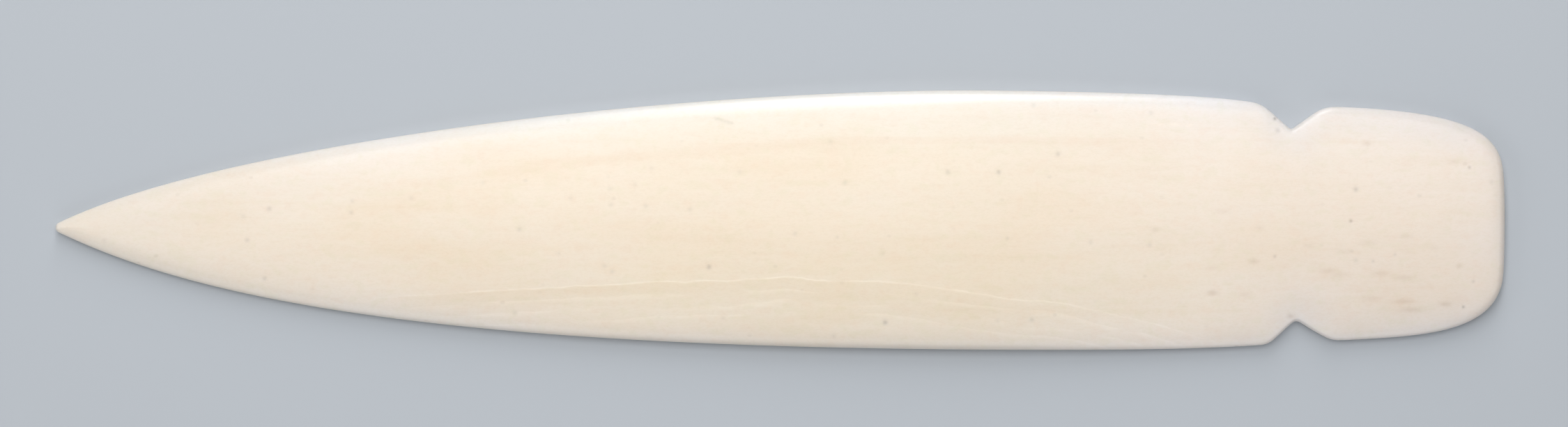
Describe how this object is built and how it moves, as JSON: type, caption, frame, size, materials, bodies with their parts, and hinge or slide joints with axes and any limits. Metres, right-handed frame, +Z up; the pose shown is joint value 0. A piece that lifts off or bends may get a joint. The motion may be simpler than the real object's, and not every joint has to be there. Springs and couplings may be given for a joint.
{
  "type": "bone folder",
  "caption": "Polished bone folder: a long pointed creasing blade with a flat back and crowned top, V notches filed into its long edges, and a rounded head beyond them.",
  "frame": {"origin": "on the plane that the flat back lies on, under the middle of the overall length and width", "axes": "+X from the pointed tip to the butt of the head, +Y across the blade to the edge that is worn wider by creasing, +Z up from the flat back to the crowned top"},
  "size_m": [0.152, 0.0272, 0.0035],
  "materials": {
    "polished_bone": "natural cream bone, hand scraped and polished to a soft satin gloss"
  },
  "bodies": {
    "root": {"bone_blade": "polished_bone"}
  },
  "joints": []
}
